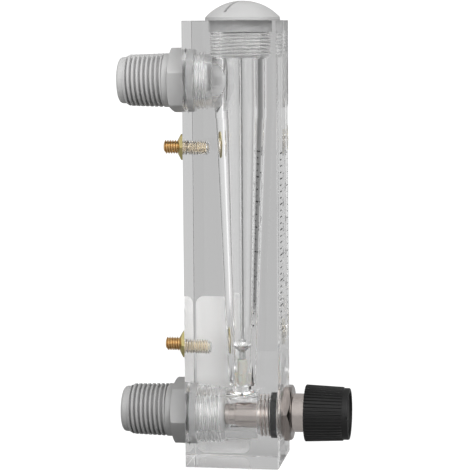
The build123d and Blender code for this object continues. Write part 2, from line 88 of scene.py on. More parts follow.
block_low, block_high = corners("body_block")
front_y = block_low.y
rear_y = block_high.y
block_top = block_high.z
side_x = block_high.x
rod_low, rod_high = corners("guide_rod")
bore_y = (rod_low.y + rod_high.y) / 2
inlet_z = middle_z("inlet_fitting_seal")
outlet_z = middle_z("outlet_fitting_seal")
plug_low, plug_high = corners("top_plug")
outlet_stub = rear_y - corners("outlet_fitting")[0].y
inlet_stub = rear_y - corners("inlet_fitting")[0].y
stud_z = {node: middle_z(node) for node in ("lower_stud", "upper_stud")}

# Seal pockets in the block: depth and radius
POCKET = 3.4             # behind each pipe fitting
POCKET_RADIUS = 12.05
PLUG_POCKET = 4.6
PLUG_POCKET_RADIUS = 12.2
BONNET_POCKET = 4.05
BONNET_POCKET_RADIUS = 9.0
BONNET_WALL = 9.05       # depth of the bonnet's tapped hole, down to the inlet gallery


# An axis is a place and a tilt about X that turns local +Z to the way the piece points
BORE = (Vector((0, bore_y, 0)), 0.0)
OUTLET = (Vector((0, rear_y, outlet_z)), -math.pi / 2)
INLET = (Vector((0, rear_y, inlet_z)), -math.pi / 2)
VALVE = (Vector((0, front_y, inlet_z)), math.pi / 2)


# Modelling

def alone(piece):
    """Make a piece the only selected one."""
    bpy.ops.object.select_all(action="DESELECT")
    bpy.context.view_layer.objects.active = piece
    piece.select_set(True)


def open_mesh(piece, chosen=None, kind="VERT"):
    """Enter edit mode with everything selected, or only what passes a test."""
    alone(piece)
    bpy.ops.object.mode_set(mode="EDIT")
    bpy.ops.mesh.select_mode(type=kind)
    if chosen is None:
        bpy.ops.mesh.select_all(action="SELECT")
        return
    bpy.ops.mesh.select_all(action="DESELECT")
    bpy.ops.object.mode_set(mode="OBJECT")
    for item in piece.data.edges if kind == "EDGE" else piece.data.vertices:
        item.select = chosen(item)
    bpy.ops.object.mode_set(mode="EDIT")


def close_mesh():
    """Leave edit mode."""
    bpy.ops.object.mode_set(mode="OBJECT")


def close_solid():
    """Turn all faces outwards and leave edit mode."""
    bpy.ops.mesh.select_all(action="SELECT")
    bpy.ops.mesh.normals_make_consistent(inside=False)
    close_mesh()


def named(name):
    """Name the primitive that was just added."""
    piece = bpy.context.object
    piece.name = name
    piece.data.name = name
    return piece


def applied(piece, kind, **settings):
    """Add a modifier, set it and apply it."""
    alone(piece)
    modifier = piece.modifiers.new(kind.title(), kind)
    for setting, value in settings.items():
        setattr(modifier, setting, value)
    bpy.ops.object.modifier_apply(modifier=modifier.name)
    return piece


def combined(piece, other, operation):
    """Join, cut or trim a piece with another one, which is used up."""
    applied(piece, "BOOLEAN", operation=operation, solver="MANIFOLD", object=other)
    bpy.data.meshes.remove(other.data)
    return piece


def laid(piece, axis):
    """Lay a piece that was made about Z on an axis."""
    place, tilt = axis
    alone(piece)
    piece.location = place * MM
    piece.rotation_euler = (tilt, 0, 0)
    bpy.ops.object.transform_apply()
    return piece


def turned(name, points, sides=SIDES):
    """Piece turned about Z from (distance, radius) points, drawn point by point and spun."""
    bpy.ops.mesh.primitive_plane_add(size=MM)
    piece = named(name)
    open_mesh(piece)
    bpy.ops.mesh.merge(type="CENTER")
    distance, radius = points[0]
    bpy.ops.transform.translate(value=(radius * MM, 0, distance * MM))
    for next_distance, next_radius in points[1:]:
        step = ((next_radius - radius) * MM, 0, (next_distance - distance) * MM)
        bpy.ops.mesh.extrude_vertices_move(TRANSFORM_OT_translate={"value": step})
        distance, radius = next_distance, next_radius
    bpy.ops.mesh.select_all(action="SELECT")
    bpy.ops.mesh.spin(steps=sides, angle=TURN, center=(0, 0, 0), axis=(0, 0, 1))
    bpy.ops.mesh.select_all(action="SELECT")
    bpy.ops.mesh.remove_doubles(threshold=WELD)
    close_solid()
    return piece


def solid(points):
    """Turning points of a solid, closed on the axis at both ends."""
    return [(points[0][0], 0), *points, (points[-1][0], 0)]


def hollow(points, bore):
    """Turning points of a piece with a bore, closed through the bore."""
    return [*points, *bore, points[0]]


def rounded(distance, radius, size):
    """Points of a rounded outer edge that turns from along the axis to across it."""
    quarter = [math.pi / 2 * step / EDGE_STEPS for step in range(EDGE_STEPS + 1)]
    return [
        (distance - size * (1 - math.sin(angle)), radius - size * (1 - math.cos(angle)))
        for angle in quarter
    ]


def coil(start, length, root, crest, pitch, foot=0.86, land=0.3, round_off=0.0):
    """Ridge of a thread about Z: a trapezoid, foot and land being shares of the pitch."""
    height = crest - root + RIDGE_SUNK
    middle = (crest + root - RIDGE_SUNK) / 2 * MM
    bpy.ops.mesh.primitive_plane_add(size=MM, rotation=(math.pi / 2, 0, 0))
    ridge = named("thread_ridge")
    bpy.ops.object.transform_apply()
    open_mesh(ridge)
    bpy.ops.transform.resize(value=(height, 1, foot * pitch))
    bpy.ops.transform.translate(value=(middle, 0, start * MM))
    close_mesh()
    open_mesh(ridge, lambda vertex: vertex.co.x > middle)
    bpy.ops.transform.resize(value=(1, 1, land / foot))
    if round_off:
        bpy.ops.mesh.bevel(offset=round_off * MM, segments=2, affect="VERTICES")
    close_mesh()
    turns = length / pitch
    steps = round(COIL_STEPS * turns)
    applied(
        ridge,
        "SCREW",
        axis="Z",
        angle=TURN * turns,
        screw_offset=length * MM,
        steps=steps,
        render_steps=steps,
    )
    open_mesh(ridge)
    bpy.ops.mesh.remove_doubles(threshold=WELD)
    bpy.ops.mesh.fill_holes(sides=12)
    close_solid()
    return ridge


def hexagon(name, start, thickness, across_flats, turn, edge_round, barrel):
    """Hexagonal bar about Z with softened corners, trimmed by a turned barrel."""
    bpy.ops.mesh.primitive_cylinder_add(
        vertices=6,
        radius=across_flats / math.sqrt(3) * MM,
        depth=thickness * MM,
        location=(0, 0, (start + thickness / 2) * MM),
        rotation=(0, 0, turn),
    )
    bar = named(name)
    bpy.ops.object.transform_apply()
    open_mesh(bar, lambda edge: upright(bar, edge), "EDGE")
    bpy.ops.mesh.bevel(offset=edge_round * MM, segments=3, affect="EDGES")
    close_mesh()
    return combined(bar, turned("barrel", solid(barrel)), "INTERSECT")


def upright(piece, edge):
    """True for an edge that runs along Z."""
    first, second = (piece.data.vertices[index].co for index in edge.vertices)
    return abs(first.z - second.z) > MM / 2


def brick(name, low, high):
    """Box between two corners."""
    bpy.ops.mesh.primitive_cube_add(size=1, location=(low + high) / 2 * MM, scale=(high - low) * MM)
    piece = named(name)
    bpy.ops.object.transform_apply()
    return piece


def squeezed(name, middle, section, inner, outer, low, high):
    """O-ring about Z, pressed flat against the walls of its pocket."""
    bpy.ops.mesh.primitive_torus_add(
        major_radius=(inner + outer) / 2 * MM,
        minor_radius=section * MM,
        major_segments=SIDES,
        minor_segments=20,
    )
    piece = named(name)
    open_mesh(piece)
    bpy.ops.transform.translate(value=(0, 0, middle * MM))
    close_mesh()
    pocket = turned("pocket", hollow([(low, outer), (high, outer)], [(high, inner), (low, inner)]))
    return combined(piece, pocket, "INTERSECT")


# Shader maths

class Amount:
    """A number that varies over a surface. Arithmetic and comparisons with it add nodes."""

    def __init__(self, finish, socket):
        self.finish = finish
        self.socket = socket

    def math(self, operation, first, second):
        """Add a Math node."""
        node = self.finish.node("ShaderNodeMath", {"operation": operation}, {0: first, 1: second})
        return Amount(self.finish, node.outputs[0])

    def __add__(self, other):
        return self.math("ADD", self, other)

    __radd__ = __add__

    def __sub__(self, other):
        return self.math("SUBTRACT", self, other)

    def __rsub__(self, other):
        return self.math("SUBTRACT", other, self)

    def __mul__(self, other):
        return self.math("MULTIPLY", self, other)

    __rmul__ = __mul__

    def __truediv__(self, other):
        return self.math("DIVIDE", self, other)

    def __pow__(self, other):
        return self.math("POWER", self, other)

    def __gt__(self, other):
        return self.math("GREATER_THAN", self, other)

    def __lt__(self, other):
        return self.math("LESS_THAN", self, other)

    def at_least(self, other):
        return self.math("MAXIMUM", self, other)

    def at_most(self, other):
        return self.math("MINIMUM", self, other)


class Finish:
    """A material and the few kinds of nodes that this object's finishes are made of."""

    def __init__(self, name, tree=None):
        if tree is None:
            self.material = bpy.data.materials.new(name)
            self.material.use_nodes = True
            tree = self.material.node_tree
        self.tree = tree
        self.tree.nodes.clear()

    def node(self, kind, settings=None, values=None):
        """Add a node: its settings first, then the numbers, colours or links of its sockets."""
        made = self.tree.nodes.new(kind)
        for setting, value in (settings or {}).items():
            setattr(made, setting, value)
        for key, value in (values or {}).items():
            source = value.socket if isinstance(value, Amount) else value
            if isinstance(source, bpy.types.NodeSocket):
                self.tree.links.new(source, made.inputs[key])
            else:
                made.inputs[key].default_value = source
        return made

    def place(self):
        """The point on the piece, as three amounts in millimetres."""
        point = self.node("ShaderNodeTexCoord").outputs["Object"]
        parts = self.node("ShaderNodeSeparateXYZ", values={0: point})
        return [Amount(self, parts.outputs[axis]) * (1 / MM) for axis in range(3)]

    def noise(self, size, detail=2.0, rough=0.5):
        """Even noise whose features are about size millimetres across."""
        point = self.node("ShaderNodeTexCoord").outputs["Object"]
        values = {"Vector": point, "Scale": 1 / (size * MM), "Detail": detail, "Roughness": rough}
        made = self.node("ShaderNodeTexNoise", {"noise_dimensions": "3D"}, values)
        return Amount(self, made.outputs["Fac"])

    def lines(self, along, size, detail=3.0):
        """Noise that varies along one direction alone, as a tool leaves it."""
        values = {"W": along / size, "Scale": 1.0, "Detail": detail}
        made = self.node("ShaderNodeTexNoise", {"noise_dimensions": "1D"}, values)
        return Amount(self, made.outputs["Fac"])

    def blend(self, share, first, second):
        """Mix of two colours by an amount."""
        made = self.node(
            "ShaderNodeMix",
            {"data_type": "RGBA"},
            {"Factor": share, 6: first, 7: second},
        )
        return made.outputs[2]

    def bump(self, height, depth):
        """Normal of a surface whose relief is depth millimetres for a height of one."""
        values = {"Strength": 1.0, "Distance": depth * MM, "Height": height}
        return self.node("ShaderNodeBump", values=values).outputs["Normal"]

    def surface(self, values, volume=None):
        """Principled surface with an optional volume."""
        shader = self.node("ShaderNodeBsdfPrincipled", values=values)
        out = self.node("ShaderNodeOutputMaterial", values={"Surface": shader.outputs[0]})
        if volume is not None:
            self.tree.links.new(volume.outputs[0], out.inputs["Volume"])
        return self.material


def grey(level, warmth=0.0):
    """Colour of a grey level, a little red and less blue where warm."""
    return (level * (1 + warmth), level, level * (1 - warmth), 1.0)


def round_zone(first, second, radius, along, low, high):
    """1 within a radius of an axis and between two places along it, else 0."""
    return ((first ** 2.0 + second ** 2.0) ** 0.5 < radius) * (along > low) * (along < high)


ACRYLIC_INDEX = 1.49
ACRYLIC_DENSITY = 5.0    # how fast the block darkens with depth
BORED_ROUGH = 0.03
TAPPED_ROUGH = 0.4
# The frosted zones are a little wider than the holes that they take in
FACE_GAP = 0.1           # keeps the frost off the outer faces
PIPE_FROST = 12.1
STUD_FROST = 2.9
STUD_FROST_DEPTH = 9.0


def clear_acrylic():
    """Polished acrylic: clear faces, faint tool rings in the bores, frosted tapped holes."""
    finish = Finish("clear_acrylic")
    x, y, z = finish.place()
    top, rear, front = block_top - FACE_GAP, rear_y - FACE_GAP, front_y + FACE_GAP
    bored = round_zone(x, y - bore_y, 10.6, z, 20.0, 160.0)
    plug_hole = round_zone(x, y - bore_y, 12.3, z, plug_low.z - 0.3, top)
    outlet_hole = round_zone(x, z - outlet_z, PIPE_FROST, y, rear_y - outlet_stub - 6.0, rear)
    inlet_hole = round_zone(x, z - inlet_z, PIPE_FROST, y, rear_y - inlet_stub - 1.0, rear)
    bonnet_hole = round_zone(x, z - inlet_z, 9.1, y, front, front_y + BONNET_WALL)
    stud_holes = [
        round_zone(x, z - height, STUD_FROST, y, rear_y - STUD_FROST_DEPTH, rear)
        for height in stud_z.values()
    ]
    tapped = sum(stud_holes, plug_hole + outlet_hole + inlet_hole + bonnet_hole).at_most(1.0)
    haze = finish.noise(9.0, 3.0)
    tool_rings = finish.lines(z, 0.5)
    return finish.surface(
        {
            "Base Color": grey(1.0),
            "Transmission Weight": 1.0,
            "IOR": ACRYLIC_INDEX,
            "Roughness": 0.004 + 0.01 * haze * haze + BORED_ROUGH * bored + TAPPED_ROUGH * tapped,
            "Normal": finish.bump(tool_rings * bored + 0.05 * haze, 0.004),
        },
        finish.node("ShaderNodeVolumeAbsorption", values={
            "Color": grey(0.9), "Density": ACRYLIC_DENSITY,
        }),
    )


def moulded_grey():
    """Satin grey moulded plastic, painted darker on the lower half as painted shade, and painted pale on
    the threads in the block as painted reflection.
    """
    finish = Finish("moulded_grey")
    y, z = finish.place()[1:]
    flow = finish.noise(7.0, 4.0)
    grain = finish.noise(0.16, 2.0)
    # Painted shade: the fitting on the lower half of the block gets a darker copy of the grey, standing
    # in for the shade that falls on it near the floor.
    lit_upper_grey = finish.blend(flow, grey(0.30, 0.004), grey(0.35, 0.004))
    painted_shade_grey = finish.blend(flow, grey(0.225, 0.004), grey(0.265, 0.004))
    bare = finish.blend(z < block_top / 2, lit_upper_grey, painted_shade_grey)
    # Painted reflection: the threads that sit in the block are painted pale grey, standing in for the
    # bright surroundings that their flanks reflect through the acrylic.
    engaged_painted_reflection = (y < rear_y - POCKET) * (z < block_top - PLUG_POCKET)
    return finish.surface({
        "Base Color": finish.blend(engaged_painted_reflection, bare, grey(0.58, 0.004)),
        "Roughness": 0.38 + 0.16 * flow,
        "Normal": finish.bump(grain + 0.6 * flow, 0.012),
        "Specular IOR Level": 0.45,
    })


TOOL_RING = 0.09         # width of the rings that a lathe tool leaves on metal
TOOL_DEPTH = 0.0015
HEX_SHADE_REACH = 3.8            # how far from the block the bonnet's hexagon is painted darker, as painted shade


def metal_cloud(finish):
    """Uneven sheen of bare or plated metal."""
    return finish.noise(2.2, 4.0, 0.6)


def turned_steel():
    """Steel turned about Z, with fine rings left by the tool."""
    finish = Finish("stainless_steel")
    z = finish.place()[2]
    tool = finish.lines(z, TOOL_RING)
    cloud = metal_cloud(finish)
    return finish.surface({
        "Base Color": finish.blend(0.55 * tool + 0.45 * cloud, grey(0.56), grey(0.74)),
        "Metallic": 1.0,
        "Roughness": 0.16 + 0.22 * cloud * tool,
        "Normal": finish.bump(tool, TOOL_DEPTH),
    })


def plated_nickel():
    """Warm nickel plate with tool rings, painted darker on the hexagon as painted shade."""
    finish = Finish("nickel_plate")
    y = finish.place()[1]
    tool = finish.lines(y, TOOL_RING)
    cloud = metal_cloud(finish)
    # Painted shade: the hexagon is painted darker, standing in for the dim surroundings that its flats
    # mirror.
    hex_painted_shade = (y < front_y) * (y > front_y - HEX_SHADE_REACH)
    bright = finish.blend(
        0.55 * tool + 0.45 * cloud, (0.48, 0.43, 0.405, 1.0), (0.72, 0.66, 0.625, 1.0)
    )
    painted_dark_plate = finish.blend(cloud, (0.24, 0.21, 0.197, 1.0), (0.36, 0.325, 0.305, 1.0))
    return finish.surface({
        "Base Color": finish.blend(hex_painted_shade, bright, painted_dark_plate),
        "Metallic": 1.0,
        "Roughness": 0.1 + 0.22 * cloud * tool + 0.06 * hex_painted_shade,
        "Normal": finish.bump(tool, TOOL_DEPTH),
    })


def sealed_brass():
    """Brass whose threads inside the block are painted pale, less metallic and rougher, as a painted
    reflection of the bright surroundings seen through the tapped acrylic.
    """
    finish = Finish("brass")
    y = finish.place()[1]
    tool = finish.lines(y, TOOL_RING)
    cloud = metal_cloud(finish)
    # Painted reflection: inside the block the brass is painted pale straw, less metallic and rougher.
    engaged_painted_reflection = (y < rear_y) * (y > 0.0)
    bare = finish.blend(tool, (0.46, 0.28, 0.11, 1.0), (0.82, 0.58, 0.28, 1.0))
    return finish.surface({
        "Base Color": finish.blend(0.7 * engaged_painted_reflection, bare, (0.86, 0.80, 0.66, 1.0)),
        "Metallic": 1.0 - 0.8 * engaged_painted_reflection,
        "Roughness": 0.2 + 0.2 * cloud * tool + 0.3 * engaged_painted_reflection,
        "Normal": finish.bump(tool, TOOL_DEPTH),
    })


def yellow_zinc():
    """Yellow zinc plate, which shifts between olive, straw and rose."""
    finish = Finish("yellow_zinc")
    drift = finish.noise(3.4, 2.0)
    spots = finish.noise(0.5, 3.0)
    straw = finish.blend(drift, (0.30, 0.33, 0.13, 1.0), (0.62, 0.52, 0.22, 1.0))
    return finish.surface({
        "Base Color": finish.blend(0.6 * spots * drift, straw, (0.55, 0.30, 0.26, 1.0)),
        "Metallic": 1.0,
        "Roughness": 0.26 + 0.2 * spots,
        "Normal": finish.bump(spots, 0.01),
    })


def soft_rubber(name, level):
    """Moulded rubber with a fine matt skin."""
    finish = Finish(name)
    skin = finish.noise(0.3, 3.0)
    return finish.surface({
        "Base Color": finish.blend(skin, grey(level * 0.8), grey(level * 1.2)),
        "Roughness": 0.5 + 0.2 * skin,
        "Normal": finish.bump(skin, 0.01),
    })


def knob_plastic():
    """Black moulded plastic with a fine spark-eroded texture."""
    finish = Finish("knob_plastic")
    grain = finish.noise(0.12, 3.0, 0.6)
    wear = finish.noise(4.0, 3.0)
    return finish.surface({
        "Base Color": finish.blend(wear, grey(0.005), grey(0.011)),
        "Roughness": 0.42 + 0.18 * grain,
        "Normal": finish.bump(grain, 0.014),
        "Specular IOR Level": 0.2,
    })


def cream_plastic():
    """Natural moulded plastic, a little waxy."""
    finish = Finish("cream_plastic")
    cloud = finish.noise(1.6, 3.0)
    return finish.surface({
        "Base Color": finish.blend(cloud, (0.49, 0.475, 0.43, 1.0), (0.56, 0.545, 0.505, 1.0)),
        "Roughness": 0.35 + 0.15 * cloud,
        "Subsurface Weight": 0.25,
        "Subsurface Scale": 1.5 * MM,
        "Normal": finish.bump(cloud, 0.01),
    })


def white_film():
    """Satin white label film."""
    finish = Finish("white_film")
    tooth = finish.noise(0.25, 3.0)
    return finish.surface({
        "Base Color": finish.blend(tooth, grey(0.93, 0.004), grey(0.97, 0.004)),
        "Roughness": 0.42 + 0.12 * tooth,
        "Normal": finish.bump(tooth, 0.006),
    })


def printed_ink():
    """Screen-printed ink, slightly uneven."""
    finish = Finish("printed_ink")
    cover = finish.noise(0.2, 2.0)
    return finish.surface({
        "Base Color": finish.blend(cover, grey(0.015), grey(0.05)),
        "Roughness": 0.45 + 0.2 * cover,
    })


slot_finish = {
    "clear_acrylic": clear_acrylic(),
    "grey_plastic": moulded_grey(),
    "cream_plastic": cream_plastic(),
    "black_plastic": knob_plastic(),
    "white_film": white_film(),
    "grey_rubber": soft_rubber("grey_rubber", 0.42),
    "black_rubber": soft_rubber("black_rubber", 0.012),
    "stainless_steel": turned_steel(),
    "nickel_plate": plated_nickel(),
    "brass": sealed_brass(),
    "yellow_zinc": yellow_zinc(),
}
slot_of = {entry["node"]: entry["material_slot"] for entry in frame["record"]["subparts"]}

for node, part in frame["nodes"].items():
    part.data.materials.clear()
    part.data.materials.append(slot_finish[slot_of[node]])


def dressed(piece, node):
    """Finish a piece that stands for a node: its shading, finish, body and slot."""
    alone(piece)
    bpy.ops.object.shade_smooth_by_angle(angle=SHARP)
    piece.data.materials.clear()
    piece.data.materials.append(slot_finish[slot_of[node]])
    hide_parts(node)
    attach(piece, frame["nodes"][node]["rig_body"])


# Threads: (root radius, crest radius, pitch) of the male side; the tapped side is a little larger
TAP_GAP = 0.06
PLUG_THREAD = (11.0, 11.68, 1.3)
STUB_THREAD = (10.4, 11.08, 1.5)
BONNET_THREAD = (7.75, 8.43, 1.5)
STUD_THREAD = (2.12, 2.73, 1.0)
PIPE_PITCH = 1.814
PIPE_DEPTH = 1.3


def threaded(piece, thread, start, length, trim=None, **shape):
    """Add a male thread to a turned piece, trimmed to an outer form where one is given."""
    root, crest, pitch = thread
    ridge = coil(start, length, root, crest, pitch, **shape)
    if trim is not None:
        combined(ridge, turned("thread_trim", solid(trim)), "INTERSECT")
    return combined(piece, ridge, "UNION")


def tapped_hole(points, thread, start, length):
    """Cutter for a tapped hole: the hole's own form and the thread's grooves."""
    root, crest, pitch = thread
    cutter = turned("hole", solid(points))
    groove = coil(start, length, root + TAP_GAP, crest + TAP_GAP, pitch)
    return combined(cutter, groove, "UNION")


# Block: plate-polished box, cut by the metering bore and the tapped holes
OVER = 1.0               # how far a cutter reaches past what it cuts
BLOCK_EDGE = 0.2
SEAT_STEP_Z = rod_low.z - 3.8
TAPER_TOP_Z = outlet_z - 14.5
THREAD_LEAD = 0.8        # plain end of a fitting's stub
PLUG_TAP = PLUG_THREAD[0] + TAP_GAP
STUB_TAP = STUB_THREAD[0] + TAP_GAP
BONNET_TAP = BONNET_THREAD[0] + TAP_GAP
STUD_TAP = STUD_THREAD[0] + TAP_GAP

bore_cutter = tapped_hole(
    [
        (inlet_z, 4.0),
        (SEAT_STEP_Z, 4.0),
        (SEAT_STEP_Z, 5.4),
        (TAPER_TOP_Z, 9.93),
        (TAPER_TOP_Z, 10.2),
        (plug_low.z - 0.6, 10.2),
        (plug_low.z - 0.6, PLUG_TAP),
        (block_top - PLUG_POCKET, PLUG_TAP),
        (block_top - PLUG_POCKET, PLUG_POCKET_RADIUS),
        (block_top + OVER, PLUG_POCKET_RADIUS),
    ],
    PLUG_THREAD,
    plug_low.z,
    block_top - PLUG_POCKET - plug_low.z,
)


def pipe_hole(inner_end, gallery_radius, stub, room):
    """Cutter for a fitting's tapped hole and the gallery behind it, room being left between them."""
    return tapped_hole(
        [
            (inner_end, gallery_radius),
            (-stub - room, gallery_radius),
            (-stub - room, STUB_TAP),
            (-POCKET, STUB_TAP),
            (-POCKET, POCKET_RADIUS),
            (OVER, POCKET_RADIUS),
        ],
        STUB_THREAD,
        THREAD_LEAD - stub,
        stub - THREAD_LEAD - POCKET,
    )


outlet_cutter = pipe_hole(bore_y - rear_y, 9.0, outlet_stub, 1.8)
inlet_cutter = pipe_hole(BONNET_WALL + front_y - rear_y, 10.0, inlet_stub, 1.2)
bonnet_cutter = tapped_hole(
    [
        (-BONNET_WALL - OVER, BONNET_TAP),
        (-BONNET_POCKET, BONNET_TAP),
        (-BONNET_POCKET, BONNET_POCKET_RADIUS),
        (OVER, BONNET_POCKET_RADIUS),
    ],
    BONNET_THREAD,
    -BONNET_WALL,
    BONNET_WALL - BONNET_POCKET,
)


def stud_axis(node):
    """Axis of a mounting stud."""
    return Vector((0, rear_y, stud_z[node])), -math.pi / 2


def block_form():
    """The block with all its bores."""
    block = brick("clear_block", block_low, block_high)
    open_mesh(block)
    bpy.ops.mesh.bevel(offset=BLOCK_EDGE * MM, segments=1, affect="EDGES")
    close_mesh()
    cutters = [
        laid(bore_cutter, BORE),
        laid(outlet_cutter, OUTLET),
        laid(inlet_cutter, INLET),
        laid(bonnet_cutter, VALVE),
    ]
    for node in stud_z:
        depth = rear_y - corners(node)[0].y
        hole = tapped_hole([(-depth - 0.5, STUD_TAP), (OVER, STUD_TAP)], STUD_THREAD, -depth, depth)
        cutters.append(laid(hole, stud_axis(node)))
    for cutter in cutters:
        combined(block, cutter, "DIFFERENCE")
    return block


dressed(block_form(), "body_block")


# Pipe fittings
PIPE_HEX_END = 7.0
PIPE_FLATS = 23.0
OUTLET_HEX_TURN = math.radians(13.6 - 90)
INLET_HEX_TURN = math.radians(-11.6 - 90)
SHOULDER_END = 9.6
PIPE_THREAD_END = 24.9
PIPE_BORE = 7.25
SEAT_BORE = 4.75         # narrower bore at the inlet stub's end, where the valve closes
PIPE_CREST = 10.48
PIPE_TAPER = 0.45        # how much smaller the pipe thread is at its far end
LEAD_RADIUS = 9.05
LAND_DROP = 0.03         # how far a filled strip of the thread lies below its crests
free_end = corners("outlet_fitting")[1].y - rear_y


def fitting_form(name, stub, turn, bore, land_half=0.0):
    """Moulded nipple: threaded stub, hexagon, shoulder, taper thread and plain lead.

    A land half-width leaves the thread's grooves filled along the top, where the mould parts.
    """
    root = STUB_THREAD[0]
    pipe_root = PIPE_CREST - PIPE_DEPTH
    body = turned(name, hollow(
        [
            (-stub, root - 0.4),
            (-stub + 0.4, root),
            (-2.9, root),
            (-2.9, 10.0),
            (-0.7, 10.0),
            (-0.7, 11.1),
            (1.0, 11.1),
            (1.0, 10.4),
            (SHOULDER_END - 0.3, 10.5),
            (SHOULDER_END, 10.2),
            (SHOULDER_END, pipe_root),
            (PIPE_THREAD_END, pipe_root - PIPE_TAPER),
            (PIPE_THREAD_END + 0.2, LEAD_RADIUS),
            *rounded(free_end, LEAD_RADIUS, 1.4),
        ],
        bore,
    ))
    threaded(body, STUB_THREAD, THREAD_LEAD - stub, stub - THREAD_LEAD - POCKET)
    threaded(
        body,
        (pipe_root - PIPE_TAPER, PIPE_CREST, PIPE_PITCH),
        SHOULDER_END - 0.5,
        PIPE_THREAD_END - SHOULDER_END + 1.2,
        trim=[
            (SHOULDER_END - 1.0, PIPE_CREST),
            (SHOULDER_END, PIPE_CREST),
            (PIPE_THREAD_END - 1.4, PIPE_CREST - PIPE_TAPER),
            (PIPE_THREAD_END + 0.6, LEAD_RADIUS - 0.1),
            (PIPE_THREAD_END + 0.7, LEAD_RADIUS - 1.0),
        ],
        foot=0.92,
        round_off=0.16,
    )
    if land_half:
        land = turned("parting_land", solid([
            (SHOULDER_END - 0.5, PIPE_CREST - LAND_DROP),
            (PIPE_THREAD_END - 1.4, PIPE_CREST - PIPE_TAPER - LAND_DROP),
            (PIPE_THREAD_END + 0.8, LEAD_RADIUS - 0.1),
        ]))
        width = brick("land_width", Vector((-land_half, -11, 0)), Vector((land_half, -8, free_end)))
        combined(body, combined(land, width, "INTERSECT"), "UNION")
    nut = hexagon("hexagon", 0.0, PIPE_HEX_END, PIPE_FLATS, turn, 0.3, [
        (0.0, 13.3), (6.35, 13.3), (6.8, 12.5), (PIPE_HEX_END, 11.8),
    ])
    return combined(body, nut, "UNION")


outlet_form = fitting_form(
    "outlet_nipple",
    outlet_stub,
    OUTLET_HEX_TURN,
    [(free_end, PIPE_BORE), (-outlet_stub, PIPE_BORE)],
    land_half=3.6,
)
inlet_form = fitting_form(
    "inlet_nipple",
    inlet_stub,
    INLET_HEX_TURN,
    [
        (free_end, PIPE_BORE),
        (-inlet_stub + 5.7, PIPE_BORE),
        (-inlet_stub + 3.2, SEAT_BORE),
        (-inlet_stub, SEAT_BORE),
    ],
)
dressed(laid(outlet_form, OUTLET), "outlet_fitting")
dressed(laid(inlet_form, INLET), "inlet_fitting")
for node, axis in (("outlet_fitting_seal", OUTLET), ("inlet_fitting_seal", INLET)):
    stub_ring = squeezed(
        node + "_ring",
        middle=-2.0,
        section=1.6,
        inner=10.02,
        outer=12.07,
        low=-POCKET + 0.1,
        high=-0.72,
    )
    dressed(laid(stub_ring, axis), node)


# Top plug
HEAD_RADIUS = 14.5
HEAD_RIM = 1.2
PLUG_NECK = 4.7          # length of the plain neck that the seal sits on
ROD_HOLE = 1.03
SLOT_TURN = math.radians(155.5)
SLOT_HALF = 0.6
SLOT_REACH = 12.5
SLOT_DEPTH = 1.8
plug_head = plug_high.z - block_top
dome_rise = plug_head - HEAD_RIM
dome_radius = (HEAD_RADIUS ** 2 + dome_rise ** 2) / (2 * dome_rise)
dome_centre = plug_high.z - dome_radius
dome_half_angle = math.asin(HEAD_RADIUS / dome_radius)


def dome(radius):
    """Points of the plug's dome from its rim to its top, at a radius about the dome's centre."""
    angles = [dome_half_angle * (1 - step / DOME_STEPS) for step in range(DOME_STEPS + 1)]
    return [(dome_centre + radius * math.cos(angle), radius * math.sin(angle)) for angle in angles]


def plug_form():
    """Domed plug with a threaded neck and a coin slot."""
    root = PLUG_THREAD[0]
    plug = turned("domed_plug", [
        (plug_low.z + 6.0, 0),
        (plug_low.z + 6.0, ROD_HOLE),
        (plug_low.z, ROD_HOLE),
        (plug_low.z, root - 0.5),
        (plug_low.z + 0.5, root),
        (block_top - PLUG_NECK, root),
        (block_top - PLUG_NECK, 10.3),
        (block_top, 10.3),
        (block_top, HEAD_RADIUS - 0.15),
        (block_top + 0.15, HEAD_RADIUS),
        *dome(dome_radius),
    ])
    threaded(plug, PLUG_THREAD, plug_low.z + 0.4, block_top - 5.4 - plug_low.z)
    slot = brick(
        "coin_slot",
        Vector((-SLOT_REACH, -SLOT_HALF, plug_high.z - 12.0)),
        Vector((SLOT_REACH, SLOT_HALF, plug_high.z + OVER)),
    )
    core = turned("slot_floor", [(dome_centre, 0), (dome_centre, 12.6), *dome(dome_radius - SLOT_DEPTH)])
    combined(slot, core, "DIFFERENCE")
    open_mesh(slot)
    bpy.ops.transform.rotate(value=-SLOT_TURN, orient_axis="Z", center_override=(0, 0, 0))
    close_mesh()
    return combined(plug, slot, "DIFFERENCE")


dressed(laid(plug_form(), BORE), "top_plug")
plug_ring = squeezed(
    "plug_ring",
    middle=block_top - 2.3,
    section=2.5,
    inner=10.32,
    outer=12.22,
    low=block_top - 4.4,
    high=block_top - 0.05,
)
dressed(laid(plug_ring, BORE), "top_plug_seal")


# Rod, its seat and the float
ROD_RADIUS = 1.0
rod_form = turned("polished_rod", solid([
    (rod_low.z, ROD_RADIUS - 0.2),
    (rod_low.z + 0.2, ROD_RADIUS),
    (rod_high.z - 0.2, ROD_RADIUS),
    (rod_high.z, ROD_RADIUS - 0.2),
]), 48)
dressed(laid(rod_form, BORE), "guide_rod")

seat_low, seat_high = corners("rod_seat")
SEAT_RADIUS = 2.9
WEB_TOP = 4.3
WEB_HALF = 0.8
WEB_EDGE = 0.25


